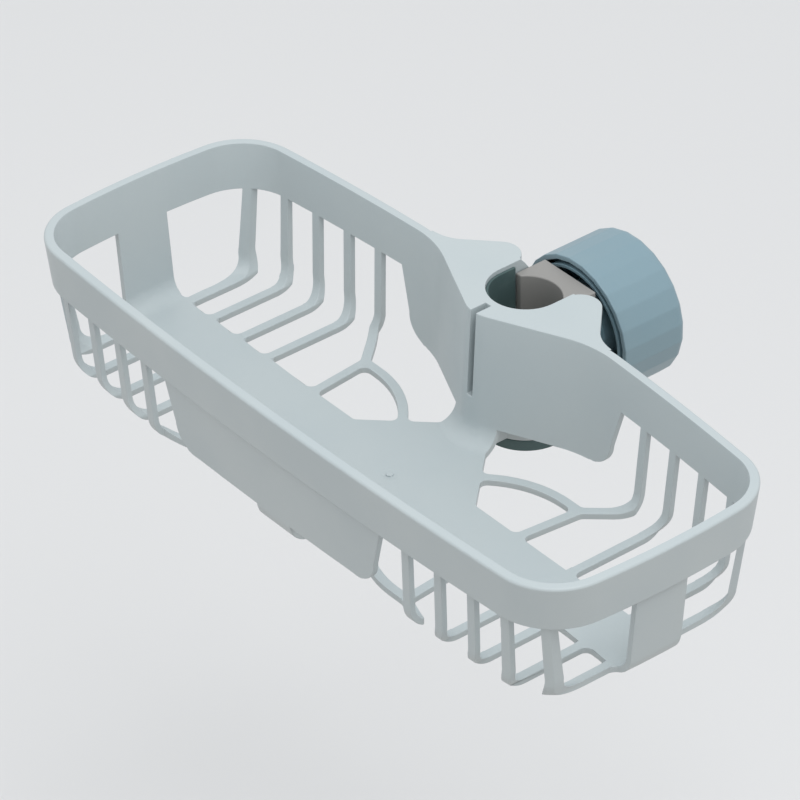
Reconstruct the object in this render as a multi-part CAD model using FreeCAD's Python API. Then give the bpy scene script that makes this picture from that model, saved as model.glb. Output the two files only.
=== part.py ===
import FreeCAD, Part

import math
import os

from FreeCAD import Vector

# Sponge holder that clamps on an upright tube: a long open tray with wrapped windows, and behind it a
# lined channel for the tube, closed by a presser that a large knob drives.
# Millimetres. X runs along the tray, Y back towards the knob, Z up.
# The origin is where the tube's axis crosses the knob's axis, at half the tray's height.

# Tube and clamp channel
TUBE_DIAMETER = 24.0
LINER_THICKNESS = 1.0
CHANNEL_WALL = 2.6
LINER_GAP = 0.05
LINER_TOP_DROP = 1.5
LINER_ARM = 6.0
LIP_HEIGHT = 4.0
LIP_GAP = 0.1
TUBE_BEHIND_RIM = 1.1

# Tray
LENGTH = 270.0
DEPTH = 107.0
HEIGHT = 50.0
WALL = 3.4
FLOOR = 2.3
FRONT_BOW = 4.6
REAR_BOW = 8.8
END_BOW = 4.1
CORNER_RADIUS = 22.0
FOOT_CORNER_RADIUS = 25.0
FOOT_ROUND = 9.5
SIDE_DRAFT = 3.3
END_DRAFT = 5.7
RIM_ROUND = 1.0

# Plain band under the rim, and how far the ribs below it stand back
BAND_HEIGHT = 16.8
BAND_STEP = 1.2

# Rear wall's dip round the channel
DIP_GAP = 3.0
DIP_RADIUS = 9.6
DIP_SLOPE = 25.0
SHOULDER_RADIUS = 42.0

# Ribs, windows and panels: each quarter is set out from the ribbon of floor between the end panels
RIBBON_AHEAD = 2.5
RIBBON_HALF = 10.2
RIB_WIDTH = 3.4
RIB_PITCH = 15.0
CORNER_RIB_IN = 10.5
CORNER_RIB_SLIM = 1.3
CORNER_RIB_ROOM = 10.0
WALL_LEAN = 1.1
BEND_LEAN = 3.4
WINDOW_ROUND = 2.4
PANEL_HALF = 55.0
PANEL_GAP = 11.6
PANEL_TAPER = 4.5
PANEL_LIFT = 8.3
PANEL_ROUND = 9.0

# Forked rib's floor bars and the solid neck of floor between them
FORK_X = 54.3
REAR_FORK = 33.7
FRONT_FORK = 37.3
FORK_FOOT = 51.0
HOOP_START = 48.0
NECK_HALF = 11.4
NECK_OUT = 30.7
NECK_FLARE = 19.6
NECK_BEND = 10.0
REAR_NECK_FOOT = 9.6
FRONT_NECK_FOOT = 8.4
HOOP_RADIUS = 38.0

# Gate mark in the middle of the floor
GATE_DIAMETER = 7.0
GATE_SINK = 0.5
GATE_STUB = 2.4

# Top plate that joins the rim to the channel
PLATE = 2.4
PLATE_NOSE = 7.0
PLATE_NOSE_Y = 6.0
PLATE_COVE = 14.7
PLATE_HALF = 44.5
SLIT_WIDTH = 2.6
SLIT_DEPTH = 32.0

# Arms that the knob's screw turns in, and the web from the channel to the tray
ARM_REACH = 18.4
ARM_CORNER_REACH = 9.0
WEB_HALF = 7.0

# Knob: threaded screw, presser that it pushes, and faceted grip
SCREW_DIAMETER = 28.8
SCREW_GAP = 0.1
SCREW_START = 14.5
THREAD_LEAD = 2.0
SCREW_HOLLOW = 22.0
SCREW_WEB = 9.0
STEM_DIAMETER = 8.0
STEM_GAP = 0.05
PRESSER_GAP = 0.1
PRESSER_HALF_HEIGHT = 21.0
PRESSER_SIDE_GAP = 0.4
PRESSER_REACH = 19.0
POCKET_GAP = 0.4
PAD_GAP = 0.05
SLEEVE_DIAMETER = 44.0
SLEEVE_WALL = 1.2
MOUTH = 21.0
GRIP_DIAMETER = 51.0
GRIP_LENGTH = 26.2
GRIP_WALL = 1.9
GRIP_END = 2.4
GRIP_ROUND = 3.0
FACETS = 24
CORE_DISC = 2.4
CORE_GAP = 0.02

RIM_Z = HEIGHT / 2
BASE_Z = -HEIGHT / 2
FLOOR_Z = BASE_Z + FLOOR
WINDOW_Z = RIM_Z - BAND_HEIGHT
PANEL_Z = BASE_Z + PANEL_LIFT
BEND_Z = BASE_Z + FOOT_ROUND + FLOOR
CENTRE_Y = -(DEPTH / 2 + TUBE_BEHIND_RIM)
RIBBON_Y = CENTRE_Y - RIBBON_AHEAD
REAR_OUT = DEPTH / 2 + RIBBON_AHEAD
FRONT_OUT = DEPTH / 2 - RIBBON_AHEAD
FORKED_RIB = PANEL_HALF + PANEL_GAP
CORNER_RIB = LENGTH / 2 - CORNER_RIB_IN
PLAIN_RIBS = int((CORNER_RIB - FORKED_RIB - CORNER_RIB_ROOM) / RIB_PITCH)
RIB_THICKNESS = WALL - BAND_STEP
TUBE_RADIUS = TUBE_DIAMETER / 2
CHANNEL_IN = TUBE_RADIUS + LINER_THICKNESS
CHANNEL_OUT = CHANNEL_IN + CHANNEL_WALL
SCREW_RADIUS = SCREW_DIAMETER / 2
GRIP_RADIUS = GRIP_DIAMETER / 2
GRIP_INSIDE = GRIP_RADIUS * math.cos(math.pi / FACETS) - GRIP_WALL
GRIP_SEAT = MOUTH + GRIP_LENGTH - GRIP_END
FAR = DEPTH
CLEAR = 5.0
BACK = Vector(0, 1, 0)


def arc_run(centre, start, end, side=1):
    """An arc of a plan outline, as its start, middle and end with their outward normals."""
    spread = (start - centre) + (end - centre)
    radius = (start - centre).Length
    middle = centre + spread * (radius / spread.Length)
    return [(point, (point - centre) * (side / radius)) for point in (start, middle, end)]


def straight_run(start, end):
    """A straight stretch of a plan outline that goes anticlockwise."""
    along = end - start
    normal = Vector(along.y, -along.x, 0) * (1 / along.Length)
    return [(point, normal) for point in (start, (start + end) * 0.5, end)]


def mirrored(run):
    """The same run on the other side of the tray, still anticlockwise."""
    return [(Vector(-p.x, p.y, 0), Vector(-n.x, n.y, 0)) for p, n in reversed(run)]


def circles_meet(centre_a, radius_a, centre_b, radius_b):
    """Both points where two circles cross."""
    between = centre_b - centre_a
    distance = between.Length
    along = (distance ** 2 + radius_a ** 2 - radius_b ** 2) / (2 * distance)
    across = math.sqrt(radius_a ** 2 - along ** 2)
    unit = between * (1 / distance)
    foot = centre_a + unit * along
    side = Vector(-unit.y, unit.x, 0) * across
    return foot + side, foot - side


def bow_radius(half_chord, bow):
    return (half_chord ** 2 + bow ** 2) / (2 * bow)


def toward(centre, through, radius):
    """The point of a circle that lies from its centre towards another point."""
    direction = through - centre
    return centre + direction * (radius / direction.Length)


def tray_outline(z):
    """The tray's outer outline at a height: bowed sides, round corners and the dip round the channel."""
    drop = RIM_Z - z
    half_length = LENGTH / 2 - drop * math.tan(math.radians(END_DRAFT))
    half_depth = DEPTH / 2 - drop * math.tan(math.radians(SIDE_DRAFT))
    corner = CORNER_RADIUS + (FOOT_CORNER_RADIUS - CORNER_RADIUS) * drop / HEIGHT
    dip_y = -(CHANNEL_OUT + DIP_GAP) - drop * math.tan(math.radians(SIDE_DRAFT))

    front_r = bow_radius(half_length, FRONT_BOW)
    rear_r = bow_radius(half_length, REAR_BOW)
    end_r = bow_radius(half_depth, END_BOW)
    front_c = Vector(0, CENTRE_Y - half_depth + front_r, 0)
    rear_c = Vector(0, CENTRE_Y + half_depth - rear_r, 0)
    end_c = Vector(half_length - end_r, CENTRE_Y, 0)

    front_corner = min(circles_meet(front_c, front_r - corner, end_c, end_r - corner), key=lambda p: p.y)
    rear_corner = max(circles_meet(rear_c, rear_r - corner, end_c, end_r - corner), key=lambda p: p.y)
    front_tip = toward(front_c, front_corner, front_r)
    front_end = toward(end_c, front_corner, end_r)
    rear_end = toward(end_c, rear_corner, end_r)
    rear_tip = toward(rear_c, rear_corner, rear_r)

    slope = math.radians(DIP_SLOPE)
    down = Vector(math.sin(slope), -math.cos(slope), 0)
    along = Vector(math.cos(slope), math.sin(slope), 0)
    dip_c = Vector(0, dip_y + DIP_RADIUS, 0)
    dip_end = dip_c + down * DIP_RADIUS
    start = dip_end + down * SHOULDER_RADIUS - rear_c
    half_b = start.dot(along)
    gap = start.dot(start) - (rear_r - SHOULDER_RADIUS) ** 2
    run_length = -half_b + math.sqrt(half_b ** 2 - gap)
    shoulder_start = dip_end + along * run_length
    shoulder_c = shoulder_start + down * SHOULDER_RADIUS
    shoulder_end = toward(rear_c, shoulder_c, rear_r)

    front = arc_run(front_c, Vector(-front_tip.x, front_tip.y, 0), front_tip)
    dip = arc_run(dip_c, dip_end, Vector(-dip_end.x, dip_end.y, 0), -1)
    right = [
        arc_run(front_corner, front_tip, front_end),
        arc_run(end_c, front_end, rear_end),
        arc_run(rear_corner, rear_end, rear_tip),
        arc_run(rear_c, rear_tip, shoulder_end),
        arc_run(shoulder_c, shoulder_end, shoulder_start),
        straight_run(shoulder_start, dip_end),
    ]
    left = [mirrored(run) for run in reversed(right)]
    return [front] + right + [dip] + left


def outline_wire(z, inset):
    """The tray's outline at a height, set in by a distance."""
    edges = []
    for run in tray_outline(z):
        start, middle, end = [Vector(p.x - n.x * inset, p.y - n.y * inset, z) for p, n in run]
        if (middle - start).cross(end - start).Length < 1e-6:
            edges.append(Part.LineSegment(start, end).toShape())
        else:
            edges.append(Part.Arc(start, middle, end).toShape())
    return Part.Wire(edges)


def tray_block(low, high, inset, round_foot=0.0):
    """A solid between two heights inside the tray's outline, its foot rounded on request."""
    block = Part.makeLoft([outline_wire(low, inset), outline_wire(high, inset)], True, True)
    if round_foot:
        foot = [edge for edge in block.Edges if edge.BoundBox.ZMax < low + 1e-4]
        block = block.makeFillet(round_foot, foot)
    return block


def prism(points, direction):
    """A solid swept from a closed polygon."""
    return Part.Face(Part.makePolygon(points + points[:1])).extrude(direction)


def rounded(solid, radius, keep=lambda edge: True):
    """The solid with its sharp upright edges rounded, where they are wanted."""
    edges = []
    for edge in solid.Edges:
        box = edge.BoundBox
        if box.XLength > 1e-3 or box.YLength > 1e-3 or not keep(box):
            continue
        one, other = [face.normalAt(*face.Surface.parameter(box.Center)) for face in
                      solid.ancestorsOfType(edge, Part.Face)]
        if abs(one.dot(other)) < 0.95:
            edges.append(edge)
    return solid.makeFillet(radius, edges)


def rib_side(rib, side, slim=0.0):
    """One side of a rib from the band to under the floor: straight on the wall, curved in the bend."""
    y = RIBBON_Y + RIBBON_HALF
    top_x = rib + side * (RIB_WIDTH / 2 - slim)
    bend_x = top_x - WALL_LEAN
    lean = BEND_LEAN - slim
    drop = BEND_Z - FLOOR_Z
    radius = (lean ** 2 + drop ** 2) / (2 * lean)
    half_turn = math.asin(drop / radius) / 2
    top = Vector(top_x, y, WINDOW_Z)
    bend = Vector(bend_x, y, BEND_Z)
    middle = Vector(bend_x - radius * (1 - math.cos(half_turn)), y, BEND_Z - radius * math.sin(half_turn))
    foot = Vector(bend_x - lean, y, FLOOR_Z)
    under = Vector(foot.x, y, BASE_Z - CLEAR)
    curves = [Part.LineSegment(top, bend), Part.Arc(bend, middle, foot), Part.LineSegment(foot, under)]
    return top, under, [curve.toShape() for curve in curves]


def plain_side(x):
    """An upright window side from the band to under the floor."""
    y = RIBBON_Y + RIBBON_HALF
    top = Vector(x, y, WINDOW_Z)
    under = Vector(x, y, BASE_Z - CLEAR)
    return top, under, [Part.LineSegment(top, under).toShape()]


def window(inner, outer):
    """A cutter between two window sides, from the ribbon out through floor and wall."""
    ends = [Part.LineSegment(inner[i], outer[i]).toShape() for i in (0, 1)]
    wire = Part.Wire(Part.__sortEdges__(inner[2] + outer[2] + ends))
    return Part.Face(wire).extrude(Vector(0, FAR, 0))


def at_ribbon(box):
    return box.YMax < RIBBON_Y + RIBBON_HALF + 1e-3


def wall_cutter(corners):
    """A cutter through the wall only, from its corners in X and Z."""
    return prism([Vector(x, RIBBON_Y + RIBBON_HALF, z) for x, z in corners], Vector(0, FAR, 0))


def floor_bar(start, end):
    """A straight floor bar seen from above, as an upright prism with round ends."""
    along = (end - start) * (1 / (end - start).Length)
    side = Vector(-along.y, along.x, 0) * (RIB_WIDTH / 2)
    middle = prism([start + side, start - side, end - side, end + side], Vector(0, 0, HEIGHT))
    ends = [Part.makeCylinder(RIB_WIDTH / 2, HEIGHT, point) for point in (start, end)]
    return middle.multiFuse(ends)


def forked_bars(fork_out, wall_out):
    """Bars that the forked rib splits into on the floor, as upright prisms."""
    base = Vector(0, RIBBON_Y, BASE_Z - CLEAR)
    fork = base + Vector(FORK_X, fork_out, 0)
    hoop_start = base + Vector(HOOP_START, fork_out, 0)
    wall_foot = base + Vector(FORKED_RIB - WALL_LEAN, wall_out - FOOT_ROUND, 0)
    hoop_centre = hoop_start - Vector(0, HOOP_RADIUS, 0)
    hoop = Part.makeCylinder(HOOP_RADIUS + RIB_WIDTH / 2, HEIGHT, hoop_centre)
    hoop = hoop.cut(Part.makeCylinder(HOOP_RADIUS - RIB_WIDTH / 2, HEIGHT, hoop_centre))
    quarter = Part.makeBox(HOOP_START, HOOP_RADIUS * 2, HEIGHT, hoop_centre - Vector(HOOP_START, 0, 0))
    bars = [
        floor_bar(wall_foot + Vector(0, FAR, 0), wall_foot),
        floor_bar(wall_foot, fork),
        floor_bar(fork, base + Vector(FORK_FOOT, 0, 0)),
        floor_bar(fork, hoop_start),
        hoop.common(quarter),
    ]
    return bars[0].multiFuse(bars[1:]).removeSplitter()


def fork_windows(wall_out, fork_out, neck_foot):
    """Cutters for the windows round the forked rib, from its panel to the next rib."""
    half = RIB_WIDTH / 2
    foot_x = FORKED_RIB - WALL_LEAN
    split = foot_x + 2 * RIB_WIDTH
    next_window = window(plain_side(split), rib_side(FORKED_RIB + RIB_PITCH, -1))
    next_window = rounded(next_window, WINDOW_ROUND, lambda box: at_ribbon(box) and box.XMin > split + 1e-3)

    outer_wall = wall_cutter([(FORKED_RIB + half, WINDOW_Z), (split, WINDOW_Z), (split, PANEL_Z),
                              (foot_x + half, PANEL_Z)])
    corner_x = PANEL_HALF - PANEL_TAPER
    inner_wall = wall_cutter([(PANEL_HALF, WINDOW_Z), (FORKED_RIB - half, WINDOW_Z),
                              (foot_x - half, PANEL_Z), (corner_x - PANEL_ROUND, PANEL_Z),
                              (corner_x, PANEL_Z + PANEL_ROUND)])
    cheek_c = Vector(corner_x - PANEL_ROUND, RIBBON_Y, PANEL_Z + PANEL_ROUND)
    inner_wall = inner_wall.cut(Part.makeCylinder(PANEL_ROUND, 2 * FAR, cheek_c, BACK))

    outline = [
        (NECK_HALF + NECK_FLARE, RIBBON_HALF),
        (split, RIBBON_HALF),
        (split, FAR),
        (neck_foot, FAR),
        (neck_foot, NECK_OUT + NECK_BEND),
        (NECK_HALF, NECK_OUT),
    ]
    low = BASE_Z - CLEAR
    zone = prism([Vector(x, RIBBON_Y + y, low) for x, y in outline], Vector(0, 0, PANEL_Z - low))
    floors = zone.cut(forked_bars(fork_out, wall_out)).Solids
    wall_y = RIBBON_Y + wall_out - FOOT_ROUND
    floors = [rounded(floor, WINDOW_ROUND, lambda box: box.XMax < split - 1e-3 and box.YMax < wall_y)
              for floor in floors]
    return [next_window, outer_wall, inner_wall] + floors


def quarter_windows(wall_out, fork_out, neck_foot):
    """Every window cutter in the tray's quarter with X positive, behind the ribbon."""
    ribs = [FORKED_RIB + RIB_PITCH * (i + 1) for i in range(PLAIN_RIBS)] + [CORNER_RIB]
    cutters = fork_windows(wall_out, fork_out, neck_foot)
    for inner, outer in zip(ribs, ribs[1:]):
        cutters.append(rounded(window(rib_side(inner, 1), rib_side(outer, -1)), WINDOW_ROUND, at_ribbon))
    corner = window(rib_side(CORNER_RIB, 1, CORNER_RIB_SLIM), plain_side(LENGTH))
    cutters.append(rounded(corner, WINDOW_ROUND, lambda box: at_ribbon(box) and box.XMax < LENGTH / 2))
    return cutters


def window_cutters():
    """All four quarters' windows."""
    rear = quarter_windows(REAR_OUT, REAR_FORK, REAR_NECK_FOOT)
    front = quarter_windows(FRONT_OUT, FRONT_FORK, FRONT_NECK_FOOT)
    half = rear + [cutter.mirror(Vector(0, RIBBON_Y, 0), Vector(0, 1, 0)) for cutter in front]
    return half + [cutter.mirror(Vector(0, 0, 0), Vector(1, 0, 0)) for cutter in half]


def channel_solid(radius, low, high, reach):
    """A round-fronted bar about the tube's axis that runs straight back to a reach."""
    round_front = Part.makeCylinder(radius, high - low, Vector(0, 0, low))
    straight = Part.makeBox(2 * radius, reach, high - low, Vector(-radius, 0, low))
    front = Part.makeBox(2 * radius, radius, high - low, Vector(-radius, -radius, low))
    return round_front.common(front).fuse(straight)


def top_plate():
    """The plate between rim and channel, with a round nose beside each arm and a cove to the rim."""
    nose_c = Vector(CHANNEL_IN + PLATE_NOSE, PLATE_NOSE_Y, RIM_Z)
    rim_y = CENTRE_Y + DEPTH / 2 - REAR_BOW * (2 * PLATE_HALF / LENGTH) ** 2
    cove_c = Vector(PLATE_HALF, rim_y + PLATE_COVE, RIM_Z)
    between = cove_c - nose_c
    turn = math.atan2(between.y, between.x) + math.acos((PLATE_NOSE + PLATE_COVE) / between.Length)
    away = Vector(math.cos(turn), math.sin(turn), 0)
    nose_end = nose_c + away * PLATE_NOSE
    cove_start = cove_c - away * PLATE_COVE
    cove_end = Vector(PLATE_HALF, rim_y, RIM_Z)
    nose_start = nose_c - Vector(PLATE_NOSE, 0, 0)
    cove = [point for point, normal in arc_run(cove_c, cove_start, cove_end)]
    nose_half = (turn + math.pi) / 2
    nose_mid = nose_c + Vector(math.cos(nose_half), math.sin(nose_half), 0) * PLATE_NOSE

    inner = Vector(0, nose_start.y, RIM_Z)
    front = Vector(PLATE_HALF, CENTRE_Y, RIM_Z)
    middle = Vector(0, CENTRE_Y, RIM_Z)
    edges = [
        Part.LineSegment(middle, front),
        Part.LineSegment(front, cove_end),
        Part.Arc(cove[2], cove[1], cove[0]),
        Part.LineSegment(cove_start, nose_end),
        Part.Arc(nose_end, nose_mid, nose_start),
        Part.LineSegment(nose_start, inner),
        Part.LineSegment(inner, middle),
    ]
    wire = Part.Wire([edge.toShape() for edge in edges])
    half = Part.Face(wire).extrude(Vector(0, 0, -PLATE))
    return half.fuse(half.mirror(Vector(0, 0, 0), Vector(1, 0, 0))).removeSplitter()


def arms():
    """The channel's wall, whose two arms end in a curve and carry the screw's thread."""
    wall = channel_solid(CHANNEL_OUT, BASE_Z, RIM_Z, ARM_REACH)
    sagitta = ARM_REACH - ARM_CORNER_REACH
    end_radius = bow_radius(HEIGHT / 2, sagitta)
    drum = Part.makeCylinder(end_radius, 2 * CHANNEL_OUT, Vector(-CHANNEL_OUT, ARM_REACH - end_radius, 0),
                             Vector(1, 0, 0))
    ahead = Part.makeBox(2 * CHANNEL_OUT, CHANNEL_OUT + ARM_CORNER_REACH, HEIGHT,
                         Vector(-CHANNEL_OUT, -CHANNEL_OUT, BASE_Z))
    return wall.common(drum.fuse(ahead))


def gate_mark():
    """The shallow dish that moulding leaves in the floor, round a stub level with it."""
    radius = bow_radius(GATE_DIAMETER / 2, GATE_SINK)
    dish = Part.makeSphere(radius, Vector(0, RIBBON_Y, FLOOR_Z + radius - GATE_SINK))
    return dish.cut(Part.makeCylinder(GATE_STUB / 2, HEIGHT, Vector(0, RIBBON_Y, BASE_Z)))


def make_basket():
    """The one-piece moulding: tray, ribs, top plate, channel and arms."""
    body = tray_block(BASE_Z, RIM_Z - RIM_ROUND, BAND_STEP, FOOT_ROUND)
    band = tray_block(WINDOW_Z, RIM_Z, 0.0)
    band = band.makeFillet(RIM_ROUND, [edge for edge in band.Edges if edge.BoundBox.ZMin > RIM_Z - 1e-4])
    web_run = DIP_GAP + CHANNEL_WALL + FOOT_ROUND
    web = Part.makeBox(2 * WEB_HALF, web_run, HEIGHT, Vector(-WEB_HALF, -CHANNEL_IN - web_run, BASE_Z))
    body = body.multiFuse([band, top_plate(), web])
    cavity = tray_block(FLOOR_Z, RIM_Z + CLEAR, WALL, FOOT_ROUND - RIB_THICKNESS)
    tray = body.cut(cavity)
    for cutter in window_cutters():
        tray = tray.cut(cutter)

    basket = tray.fuse(arms())
    bore = channel_solid(CHANNEL_IN, BASE_Z - CLEAR, RIM_Z + CLEAR, FAR)
    thread = Part.makeCylinder(SCREW_RADIUS + SCREW_GAP, FAR, Vector(0, SCREW_START - THREAD_LEAD, 0), BACK)
    slit_run = DIP_GAP + WALL + CLEAR
    slit = Part.makeBox(SLIT_WIDTH, slit_run, SLIT_DEPTH + CLEAR,
                        Vector(-SLIT_WIDTH / 2, -CHANNEL_OUT - slit_run, RIM_Z - SLIT_DEPTH))
    return basket.cut(bore).cut(thread).cut(slit).cut(gate_mark()).removeSplitter()


def make_clamp_liner():
    """The soft sleeve in the channel, with a lip under it."""
    outer = channel_solid(CHANNEL_IN - LINER_GAP, BASE_Z - LIP_GAP, RIM_Z - LINER_TOP_DROP, LINER_ARM)
    lip = channel_solid(CHANNEL_OUT, BASE_Z - LIP_GAP - LIP_HEIGHT, BASE_Z - LIP_GAP, LINER_ARM)
    bore = channel_solid(TUBE_RADIUS, BASE_Z - HEIGHT, RIM_Z + HEIGHT, FAR)
    return outer.fuse(lip).cut(bore).removeSplitter()


def make_presser():
    """The block that bears on the tube, with a pocket for the screw's end and a stem that it turns on."""
    half_width = CHANNEL_IN - PRESSER_SIDE_GAP
    front = LINER_ARM + PRESSER_SIDE_GAP
    block = Part.makeBox(2 * half_width, PRESSER_REACH - front, 2 * PRESSER_HALF_HEIGHT,
                         Vector(-half_width, front, -PRESSER_HALF_HEIGHT))
    saddle = Part.makeCylinder(TUBE_RADIUS + PAD_GAP, HEIGHT * 2, Vector(0, 0, -HEIGHT))
    seat = SCREW_START - PRESSER_GAP
    pocket = Part.makeCylinder(SCREW_RADIUS + POCKET_GAP, FAR, Vector(0, seat, 0), BACK)
    root = (TUBE_RADIUS + PAD_GAP + seat) / 2
    stem = Part.makeCylinder(STEM_DIAMETER / 2, SCREW_START + SCREW_WEB - root, Vector(0, root, 0), BACK)
    return block.cut(saddle).cut(pocket).fuse(stem).removeSplitter()


def make_knob_screw():
    """The screw, its disc in the grip and the sleeve between them."""
    disc_y = GRIP_SEAT - CORE_DISC
    screw = Part.makeCylinder(SCREW_RADIUS, disc_y - SCREW_START, Vector(0, SCREW_START, 0), BACK)
    disc = Part.makeCylinder(GRIP_INSIDE - CORE_GAP, CORE_DISC, Vector(0, disc_y, 0), BACK)
    sleeve = Part.makeCylinder(SLEEVE_DIAMETER / 2, disc_y - MOUTH, Vector(0, MOUTH, 0), BACK)
    sleeve = sleeve.cut(Part.makeCylinder(SLEEVE_DIAMETER / 2 - SLEEVE_WALL, FAR, Vector(0, 0, 0), BACK))
    stem_bore = Part.makeCylinder(STEM_DIAMETER / 2 + STEM_GAP, FAR, Vector(0, 0, 0), BACK)
    hollow = Part.makeCylinder(SCREW_HOLLOW / 2, FAR, Vector(0, SCREW_START + SCREW_WEB, 0), BACK)
    return screw.multiFuse([disc, sleeve]).cut(stem_bore).cut(hollow).removeSplitter()


def make_knob_grip():
    """The faceted cup that the hand turns."""
    far_y = MOUTH + GRIP_LENGTH
    turns = [2 * math.pi * (i + 0.5) / FACETS for i in range(FACETS)]
    corners = [Vector(GRIP_RADIUS * math.cos(turn), MOUTH, GRIP_RADIUS * math.sin(turn)) for turn in turns]
    cup = prism(corners, BACK * GRIP_LENGTH)
    far_edge = [edge for edge in cup.Edges if edge.BoundBox.YMin > far_y - 1e-4]
    cup = cup.makeFillet(GRIP_ROUND, far_edge)
    return cup.cut(Part.makeCylinder(GRIP_INSIDE, GRIP_SEAT, Vector(0, 0, 0), BACK))


PIECES = {
    "basket": make_basket,
    "clamp_liner": make_clamp_liner,
    "presser": make_presser,
    "knob_screw": make_knob_screw,
    "knob_grip": make_knob_grip,
}

os.makedirs("parts", exist_ok=True)
for name, make in PIECES.items():
    piece = make()
    solid = piece.Solids[0] if len(piece.Solids) == 1 else piece
    solid.exportStep(os.path.join("parts", name + ".step"))
    print(name, len(piece.Solids), "solid", piece.isValid(), round(piece.Volume / 1000, 2), "cm3")
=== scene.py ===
import math

import bmesh
import bpy
from mathutils import Matrix, Vector


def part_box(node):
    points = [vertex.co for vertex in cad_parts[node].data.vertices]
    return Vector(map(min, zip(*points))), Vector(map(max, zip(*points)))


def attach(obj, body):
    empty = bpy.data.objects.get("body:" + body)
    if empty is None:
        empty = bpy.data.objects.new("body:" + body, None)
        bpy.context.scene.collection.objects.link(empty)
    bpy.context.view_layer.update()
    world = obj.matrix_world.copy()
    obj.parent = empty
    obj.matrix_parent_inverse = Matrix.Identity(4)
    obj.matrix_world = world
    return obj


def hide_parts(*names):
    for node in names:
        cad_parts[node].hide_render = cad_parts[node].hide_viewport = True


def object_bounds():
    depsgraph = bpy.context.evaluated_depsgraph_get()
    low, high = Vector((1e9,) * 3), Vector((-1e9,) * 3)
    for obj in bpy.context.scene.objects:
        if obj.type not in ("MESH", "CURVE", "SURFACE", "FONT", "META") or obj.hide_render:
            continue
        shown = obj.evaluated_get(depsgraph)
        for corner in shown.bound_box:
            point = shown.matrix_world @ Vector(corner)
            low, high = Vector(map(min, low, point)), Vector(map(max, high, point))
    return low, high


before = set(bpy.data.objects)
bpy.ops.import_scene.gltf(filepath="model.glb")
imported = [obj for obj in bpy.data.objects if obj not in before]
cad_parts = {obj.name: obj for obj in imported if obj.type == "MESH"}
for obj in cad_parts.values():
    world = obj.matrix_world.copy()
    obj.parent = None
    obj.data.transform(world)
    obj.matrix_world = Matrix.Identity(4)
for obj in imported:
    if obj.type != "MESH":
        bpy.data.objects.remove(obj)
cad_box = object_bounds()

# Metres. X runs along the tray, Y back towards the knob, Z up along the clamp's channel.
MM = 0.001

# How near two places are that count as one
CLOSE = 0.01 * MM

# Merging of a copied node's loose triangles
WELD = 0.02 * MM
FLAT_TURN = math.radians(0.1)

# Edge rounding left by the moulds
TRAY_EDGE = 0.28 * MM
LINER_EDGE = 0.25 * MM
PRESSER_EDGE = 0.5 * MM
CORE_EDGE = 0.25 * MM
EDGE_STEPS = 3
SHARP_TURN = math.radians(32)
SMOOTH_TURN = math.radians(38)

# Knob's cup
FACETS = 24
FACET_POINTS = 12
CUP_WALL = 1.9 * MM
CUP_ROUND = 3.0 * MM
CUP_ROUND_STEPS = 8
CUP_LIP = 0.35 * MM

# Knob's core: the screw's drum, the sleeve round it and the disc behind both
SLEEVE_RADIUS = 22.0 * MM
SLEEVE_WALL = 1.2 * MM
DISC_THICKNESS = 2.4 * MM
BORE_RADIUS = 4.05 * MM
BORE_DEPTH = 9.0 * MM
ROUND_SIDES = 128

# Screw's thread, whose ridge starts a little under the drum's surface
THREAD_RADIUS = 14.4 * MM
THREAD_DEPTH = 0.9 * MM
THREAD_PITCH = 3.0 * MM
THREAD_FOOT = 2.16 * MM
THREAD_CREST = 0.84 * MM
THREAD_ROOT = 0.3 * MM
DRUM_RADIUS = THREAD_RADIUS - THREAD_DEPTH

# Moulded plastic: patches of colour and gloss, flecks, sink marks, and grain as its size and height
DRIFT_SIZE = 38 * MM
DRIFT_SPAN = (0.35, 0.65)
DRIFT_TONE = 0.8
DRIFT_GLOSS = 0.08
FLECK_SIZE = 1.6 * MM
FLECK_SPAN = (0.3, 0.7)
FLECK_TONE = 0.2
FLECK_GLOSS = 0.04
SINK_SIZE = 22 * MM
SINK_DEPTH = 0.25 * MM
SINK_STRENGTH = 0.35
TRAY_GRAIN = (0.3 * MM, 0.02 * MM)
KNOB_GRAIN = (0.25 * MM, 0.015 * MM)
GRAIN_STRENGTH = 0.5

# Rubber: dust and a pebbled skin
DUST_SIZE = 5 * MM
DUST_SPAN = (0.45, 0.8)
DUST_ROUGHNESS = 0.2
RUBBER_ROUGHNESS = 0.62
PEBBLE_SIZE = 0.5 * MM
PEBBLE_HEIGHT = 0.05 * MM
PEBBLE_STRENGTH = 0.6

# Floor under the tray
FLOOR_DROP = 0.24
FLOOR_SIZE = 8.0
FLOOR_PATCH = 0.9
FLOOR_ROUGHNESS = 0.8

# Light
ROOM_COLOUR = (0.98, 1.0, 1.015, 1.0)
ROOM_STRENGTH = 0.9
LAMP_AZIMUTH = math.radians(80)
LAMP_ELEVATION = math.radians(68)
LAMP_DISTANCE = 1.6
LAMP_SIZE = 1.0
LAMP_POWER = 9.5

# View of the photograph
VIEW_AZIMUTH = math.radians(51.40)
VIEW_ELEVATION = math.radians(35.31)
VIEW_ROLL = math.radians(-0.89)
VIEW_AIM = Vector((8.41, -59.08, 11.78)) * MM
VIEW_DISTANCE = 1.7555
LENS_MM = 249.8
FILM_MM = 36.0


def srgb(red, green, blue):
    """A colour given as it looks on a screen, from 0 to 255, as the shader's linear values."""
    def linear(value):
        part = value / 255
        return part / 12.92 if part <= 0.04045 else ((part + 0.055) / 1.055) ** 2.4
    return (linear(red), linear(green), linear(blue), 1.0)


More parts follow.
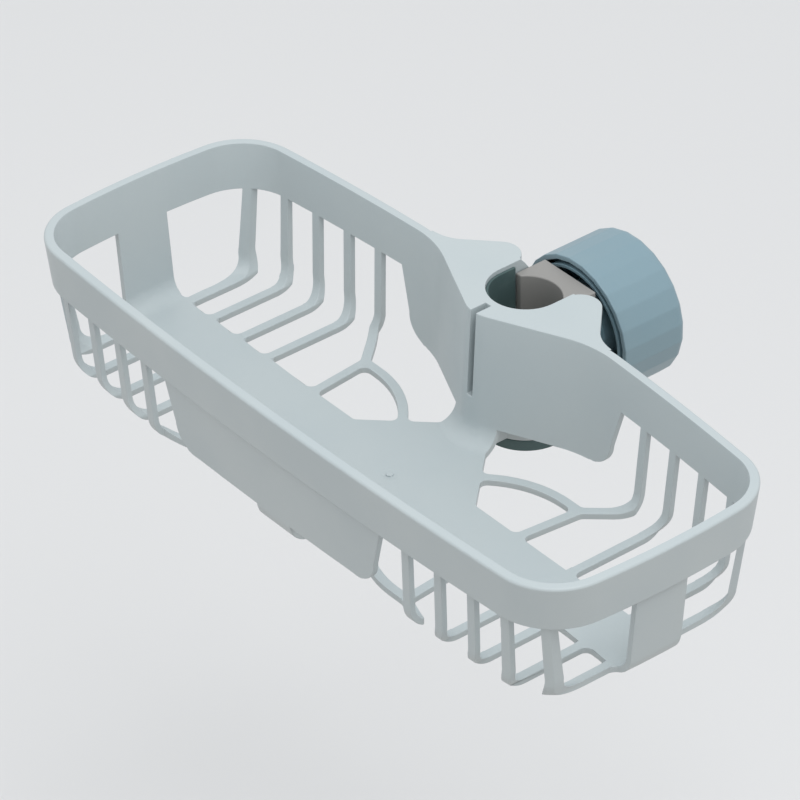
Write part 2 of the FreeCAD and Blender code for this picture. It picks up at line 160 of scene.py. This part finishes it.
class Wire:
    """A socket of a finish, with Python's operators as Math nodes."""

    def __init__(self, finish, socket):
        self.finish = finish
        self.socket = socket

    def math(self, operation, first, second):
        return self.finish.add("ShaderNodeMath", {"operation": operation}, {0: first, 1: second})

    def __add__(self, other):
        return self.math("ADD", self, other)

    def __sub__(self, other):
        return self.math("SUBTRACT", self, other)

    def __rsub__(self, other):
        return self.math("SUBTRACT", other, self)

    def __mul__(self, other):
        return self.math("MULTIPLY", self, other)

    __radd__ = __add__
    __rmul__ = __mul__


class Finish:
    """A material whose nodes all come from one method."""

    def __init__(self, name):
        self.material = bpy.data.materials.new(name)
        self.material.use_nodes = True
        self.tree = self.material.node_tree
        self.shader = self.tree.nodes["Principled BSDF"]
        self.place = self.add("ShaderNodeTexCoord", output="Object")

    def put(self, socket, value):
        """Links a wire to a socket, or sets a plain value on it."""
        if isinstance(value, Wire):
            self.tree.links.new(value.socket, socket)
        else:
            socket.default_value = value

    def add(self, kind, settings=None, inputs=None, output=0):
        """Adds a node of a kind and gives one of its outputs."""
        node = self.tree.nodes.new(kind)
        for name, value in (settings or {}).items():
            setattr(node, name, value)
        for key, value in (inputs or {}).items():
            self.put(node.inputs[key], value)
        return Wire(self, node.outputs[output])

    def noise(self, size, detail):
        """Noise between 0 and 1 whose patches are about a given size across."""
        return self.add("ShaderNodeTexNoise", None,
                        {"Vector": self.place, "Scale": 1 / size, "Detail": detail})

    def spread(self, value, low, high):
        """A value that runs from 0 to 1 between two limits."""
        return self.add("ShaderNodeMapRange", None,
                        {"Value": value, "From Min": low, "From Max": high})

    def mix(self, amount, first, second):
        """A colour between two others. A Mix node's colours are its inputs 6 and 7 and its output 2."""
        return self.add("ShaderNodeMix", {"data_type": "RGBA"}, {0: amount, 6: first, 7: second}, 2)

    def bump(self, height, distance, strength, before=None):
        """A surface raised by a height, on top of an earlier bump if there is one."""
        inputs = {"Height": height, "Distance": distance, "Strength": strength}
        if before:
            inputs["Normal"] = before
        return self.add("ShaderNodeBump", None, inputs)

    def shade(self, **values):
        """Sets the shader's sockets and gives the finished material."""
        for name, value in values.items():
            self.put(self.shader.inputs[name.replace("_", " ")], value)
        return self.material


def moulded(name, colour, other, roughness, grain):
    """Moulded plastic: slow drifts of colour and gloss, and the mould's fine grain."""
    finish = Finish(name)
    grain_size, grain_height = grain
    drift = finish.spread(finish.noise(DRIFT_SIZE, detail=3.0), *DRIFT_SPAN)
    flecks = finish.spread(finish.noise(FLECK_SIZE, detail=2.0), *FLECK_SPAN)
    tone = drift * DRIFT_TONE + flecks * FLECK_TONE
    gloss = roughness + DRIFT_GLOSS * drift - FLECK_GLOSS * flecks
    sink = finish.bump(finish.noise(SINK_SIZE, detail=1.0), SINK_DEPTH, SINK_STRENGTH)
    skin = finish.bump(finish.noise(grain_size, detail=3.0), grain_height, GRAIN_STRENGTH, sink)
    return finish.shade(Base_Color=finish.mix(tone, colour, other), Roughness=gloss, Normal=skin)


def rubber(name, colour, other):
    """Soft rubber: dull, a little dusty, with a fine pebbled skin."""
    finish = Finish(name)
    dust = finish.spread(finish.noise(DUST_SIZE, detail=4.0), *DUST_SPAN)
    dullness = RUBBER_ROUGHNESS + DUST_ROUGHNESS * dust
    skin = finish.bump(finish.noise(PEBBLE_SIZE, detail=2.0), PEBBLE_HEIGHT, PEBBLE_STRENGTH)
    return finish.shade(Base_Color=finish.mix(dust, colour, other), Roughness=dullness, Normal=skin)


def plain_floor():
    """A pale floor that takes the object's shadow, and whose bounced light is dimmer and warmer."""
    finish = Finish("pale_floor")
    drift = finish.noise(FLOOR_PATCH, detail=1.0)
    pale = finish.mix(drift, srgb(217, 217, 218), srgb(221, 221, 221))
    bounced = srgb(178, 170, 164)
    seen = finish.add("ShaderNodeLightPath", output="Is Camera Ray")
    mirrored = finish.add("ShaderNodeLightPath", output="Is Glossy Ray")
    return finish.shade(Base_Color=finish.mix(seen + mirrored, bounced, pale), Roughness=FLOOR_ROUGHNESS)


def dress(piece, material):
    """Gives a piece one material in place of what it had."""
    piece.data.materials.clear()
    piece.data.materials.append(material)


def only(piece):
    """Selects one object and nothing else."""
    bpy.ops.object.select_all(action="DESELECT")
    piece.select_set(True)
    bpy.context.view_layer.objects.active = piece


def edit(mode):
    """Starts to edit the active piece by its vertices, edges or faces."""
    bpy.ops.object.mode_set(mode="EDIT")
    bpy.ops.mesh.select_mode(type=mode)


def done():
    """Ends the editing of the active piece."""
    bpy.ops.object.mode_set(mode="OBJECT")


def pick(piece, kind, wanted):
    """In edit mode, selects only the faces, edges or vertices that are wanted."""
    bpy.ops.mesh.select_all(action="DESELECT")
    mesh = bmesh.from_edit_mesh(piece.data)
    for item in getattr(mesh, kind):
        if wanted(item):
            item.select_set(True)
    mesh.select_flush_mode()
    bmesh.update_edit_mesh(piece.data)


def sharp(edge):
    """Whether two faces meet at an edge that shows."""
    return edge.is_manifold and edge.calc_face_angle() > SHARP_TURN


def room(face, edge):
    """How far a face reaches from one of its edges, if it were a rectangle on that edge."""
    return face.calc_area() / edge.calc_length()


def round_off(width, steps=EDGE_STEPS, clamp=True):
    """Rounds the selected edges."""
    bpy.ops.mesh.bevel(offset=width, segments=steps, affect="EDGES", clamp_overlap=clamp)


def face_outwards():
    """In edit mode, turns every face to the outside."""
    bpy.ops.mesh.select_all(action="SELECT")
    bpy.ops.mesh.normals_make_consistent(inside=False)


def smooth(piece):
    """Shades a piece smooth, with flat faces kept flat beside its rounded edges."""
    only(piece)
    bpy.ops.object.shade_smooth_by_angle(angle=SMOOTH_TURN)
    even = piece.modifiers.new("even", "WEIGHTED_NORMAL")
    even.keep_sharp = True
    bpy.ops.object.modifier_apply(modifier=even.name)


def rounded_copy(node, name, width):
    """A piece with a CAD node's shape and its sharp edges rounded where both faces have room."""
    only(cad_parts[node])
    bpy.ops.object.duplicate()
    piece = bpy.context.active_object
    piece.name = name
    piece.parent = None
    for key in list(piece.keys()):
        del piece[key]
    only(piece)
    edit("EDGE")
    bpy.ops.mesh.select_all(action="SELECT")
    bpy.ops.mesh.customdata_custom_splitnormals_clear()
    bpy.ops.mesh.remove_doubles(threshold=WELD)
    bpy.ops.mesh.dissolve_degenerate(threshold=WELD)
    bpy.ops.mesh.dissolve_limited(angle_limit=FLAT_TURN)
    pick(piece, "edges",
         lambda edge: sharp(edge) and all(room(face, edge) > width for face in edge.link_faces))
    round_off(width, clamp=False)
    done()
    smooth(piece)
    return piece


def knob_blank(name, y, radius, sides):
    """A filled circle across the knob's axis that faces the tray."""
    bpy.ops.object.select_all(action="DESELECT")
    bpy.ops.mesh.primitive_circle_add(vertices=sides, radius=radius, fill_type="NGON", location=(0, y, 0),
                                      rotation=(math.pi / 2, 0, 0))
    piece = bpy.context.active_object
    piece.name = name
    bpy.ops.object.transform_apply(location=True, rotation=True, scale=True)
    return piece


def draw_out(distance):
    """Extrudes the selected faces along the knob's axis."""
    bpy.ops.mesh.extrude_region_move(TRANSFORM_OT_translate={"value": (0, distance, 0)})


def flat_at(y):
    """A test for the edges that lie across the knob's axis at one place."""
    return lambda edge: all(abs(vert.co.y - y) < CLOSE for vert in edge.verts)


def make_knob_cup():
    """The cup that the hand turns, with a ring of flat facets."""
    low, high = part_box("knob_grip")
    turn = 2 * math.pi / FACETS
    at_far_end, at_mouth = flat_at(high.y), flat_at(low.y)
    piece = knob_blank("knob_cup", high.y, high.x / math.cos(turn / 2), FACETS * FACET_POINTS)

    # Every point of the circle is drawn in to the flat of its facet
    edit("VERT")
    for step in range(FACET_POINTS):
        beside = turn * min(step, FACET_POINTS - step) / FACET_POINTS
        share = math.cos(turn / 2) / math.cos(beside)

        def on_step(vert):
            steps = math.atan2(vert.co.z, vert.co.x) / turn * FACET_POINTS
            return round(steps) % FACET_POINTS == step

        pick(piece, "verts", on_step)
        bpy.ops.transform.resize(value=(share, 1, share), center_override=(0, high.y, 0))

    # An open cup is drawn out, rounded at its far end, and given its wall and its lip
    bpy.ops.mesh.select_mode(type="FACE")
    bpy.ops.mesh.select_all(action="SELECT")
    draw_out(low.y - high.y)
    pick(piece, "faces", lambda face: abs(face.calc_center_median().y - low.y) < CLOSE)
    bpy.ops.mesh.delete(type="ONLY_FACE")
    face_outwards()
    bpy.ops.mesh.select_mode(type="EDGE")
    pick(piece, "edges", at_far_end)
    round_off(CUP_ROUND, CUP_ROUND_STEPS)
    done()
    wall = piece.modifiers.new("wall", "SOLIDIFY")
    wall.thickness = CUP_WALL
    wall.offset = -1
    wall.use_even_offset = True
    bpy.ops.object.modifier_apply(modifier=wall.name)
    edit("EDGE")
    pick(piece, "edges", lambda edge: sharp(edge) and at_mouth(edge))
    round_off(CUP_LIP)
    done()
    smooth(piece)
    return piece


def make_knob_core():
    """The screw's drum, the sleeve round it and the disc that carries both in the cup."""
    low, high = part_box("knob_screw")
    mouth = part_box("knob_grip")[0].y
    disc_y = high.y - DISC_THICKNESS
    sleeve_inside = SLEEVE_RADIUS - SLEEVE_WALL
    piece = knob_blank("knob_core", high.y, high.x, ROUND_SIDES)

    # The disc's face is parted into rings, and the drum and the sleeve are drawn out of it
    edit("FACE")
    bpy.ops.mesh.select_all(action="SELECT")
    draw_out(disc_y - high.y)
    rings = (high.x, SLEEVE_RADIUS, sleeve_inside, DRUM_RADIUS)
    for outer, inner in zip(rings, rings[1:]):
        bpy.ops.mesh.inset(thickness=outer - inner)
    draw_out(low.y - disc_y)
    bpy.ops.mesh.inset(thickness=DRUM_RADIUS - BORE_RADIUS)
    draw_out(BORE_DEPTH)

    def sleeve_foot(face):
        centre = face.calc_center_median()
        off_middle = math.hypot(centre.x, centre.z) - (SLEEVE_RADIUS + sleeve_inside) / 2
        return abs(centre.y - disc_y) < CLOSE and abs(off_middle) < SLEEVE_WALL / 4

    pick(piece, "faces", sleeve_foot)
    draw_out(mouth - disc_y)
    face_outwards()
    pick(piece, "edges", sharp)
    round_off(CORE_EDGE)
    done()
    smooth(piece)
    return piece


def make_screw_thread():
    """The screw's one ridge, wound round its drum."""
    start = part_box("knob_screw")[0].y
    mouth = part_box("knob_grip")[0].y
    bpy.ops.object.select_all(action="DESELECT")
    bpy.ops.mesh.primitive_plane_add(size=1, location=(0, 0, 0))
    piece = bpy.context.active_object
    piece.name = "screw_thread"

    # The plane's corners become the ridge's section
    edit("VERT")
    mesh = bmesh.from_edit_mesh(piece.data)
    for vert in mesh.verts:
        crest = vert.co.x > 0
        out = THREAD_RADIUS if crest else DRUM_RADIUS - THREAD_ROOT
        width = THREAD_CREST if crest else THREAD_FOOT
        side = width / 2 if vert.co.y > 0 else -width / 2
        vert.co = Vector((out, start + THREAD_FOOT / 2 + side, 0))
    bmesh.update_edit_mesh(piece.data)
    done()
    wind = piece.modifiers.new("wind", "SCREW")
    wind.axis = "Y"
    wind.angle = 2 * math.pi
    wind.screw_offset = THREAD_PITCH
    wind.iterations = int((mouth - start) / THREAD_PITCH)
    wind.steps = ROUND_SIDES
    wind.render_steps = ROUND_SIDES
    wind.use_merge_vertices = False
    bpy.ops.object.modifier_apply(modifier=wind.name)
    edit("FACE")
    face_outwards()
    done()
    smooth(piece)
    return piece


def place(piece, body, slot, material, *nodes):
    """Puts a finished piece on its body, in place of the CAD nodes that it stands for."""
    dress(piece, material)
    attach(piece, body)
    if nodes:
        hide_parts(*nodes)


def add_floor():
    """A wide floor below the tray, as part of the stage."""
    bpy.ops.object.select_all(action="DESELECT")
    bpy.ops.mesh.primitive_plane_add(size=FLOOR_SIZE, location=(0, 0, cad_box[0].z - FLOOR_DROP))
    floor = bpy.context.active_object
    floor.name = "floor"
    bpy.ops.object.transform_apply(location=True, rotation=True, scale=True)
    dress(floor, plain_floor())


def direction(azimuth, elevation):
    """The way out from the tray at an angle round from its front and an angle up."""
    level = math.cos(elevation)
    return Vector((math.sin(azimuth) * level, -math.cos(azimuth) * level, math.sin(elevation)))


def add_light():
    """A pale room, and one square soft lamp that faces the tray from above."""
    world = bpy.data.worlds.new("pale_room")
    world.use_nodes = True
    sky = world.node_tree.nodes["Background"]
    sky.inputs["Color"].default_value = ROOM_COLOUR
    sky.inputs["Strength"].default_value = ROOM_STRENGTH
    bpy.context.scene.world = world

    away = direction(LAMP_AZIMUTH, LAMP_ELEVATION)
    lamp = bpy.data.lights.new("overhead", "AREA")
    lamp.size = LAMP_SIZE
    lamp.energy = LAMP_POWER
    holder = bpy.data.objects.new("overhead", lamp)
    holder.location = VIEW_AIM + away * LAMP_DISTANCE
    holder.rotation_euler = away.to_track_quat("Z", "Y").to_euler()
    bpy.context.scene.collection.objects.link(holder)


def add_camera():
    """The camera, at the photograph's view of the tray."""
    back = direction(VIEW_AZIMUTH, VIEW_ELEVATION)
    level = Vector((math.cos(VIEW_AZIMUTH), math.sin(VIEW_AZIMUTH), 0))
    right = level * math.cos(VIEW_ROLL) + back.cross(level) * math.sin(VIEW_ROLL)
    turn = Matrix((right, back.cross(right), back)).transposed().to_4x4()
    camera = bpy.data.cameras.new("camera")
    camera.lens = LENS_MM
    camera.sensor_width = FILM_MM
    holder = bpy.data.objects.new("camera", camera)
    holder.matrix_world = Matrix.Translation(VIEW_AIM + back * VIEW_DISTANCE) @ turn
    bpy.context.scene.collection.objects.link(holder)
    bpy.context.scene.camera = holder


tray_grey = moulded("tray_grey", srgb(186, 195, 197), srgb(182, 192, 195),
                    roughness=0.40, grain=TRAY_GRAIN)
presser_grey = moulded("presser_grey", srgb(150, 148, 145), srgb(145, 144, 142),
                       roughness=0.45, grain=TRAY_GRAIN)
knob_blue = moulded("knob_blue", srgb(131, 155, 164), srgb(126, 152, 163),
                    roughness=0.34, grain=KNOB_GRAIN)
# Painted shade: the core is the cup's teal plastic, given a darker colour for the shade inside the knob
core_blue_painted_shade = moulded("core_blue_painted_shade", srgb(112, 138, 148), srgb(108, 135, 146),
                    roughness=0.38, grain=KNOB_GRAIN)
# The sleeve is teal rubber, its colour painted darker as shade under the tray; its dusty drifts are its own
liner_teal_painted_shade = rubber("liner_teal_painted_shade", srgb(70, 92, 92), srgb(84, 104, 104))

place(rounded_copy("basket", "basket_moulding", TRAY_EDGE), "frame", "basket", tray_grey, "basket")
place(rounded_copy("clamp_liner", "clamp_sleeve", LINER_EDGE), "frame", "liner", liner_teal_painted_shade, "clamp_liner")
place(rounded_copy("presser", "presser_block", PRESSER_EDGE), "presser", "presser", presser_grey, "presser")
place(make_knob_cup(), "knob", "grip", knob_blue, "knob_grip")
place(make_knob_core(), "knob", "screw", core_blue_painted_shade, "knob_screw")
place(make_screw_thread(), "knob", "screw", core_blue_painted_shade)

add_floor()
add_light()
add_camera()
bpy.context.scene.view_settings.view_transform = "Standard"
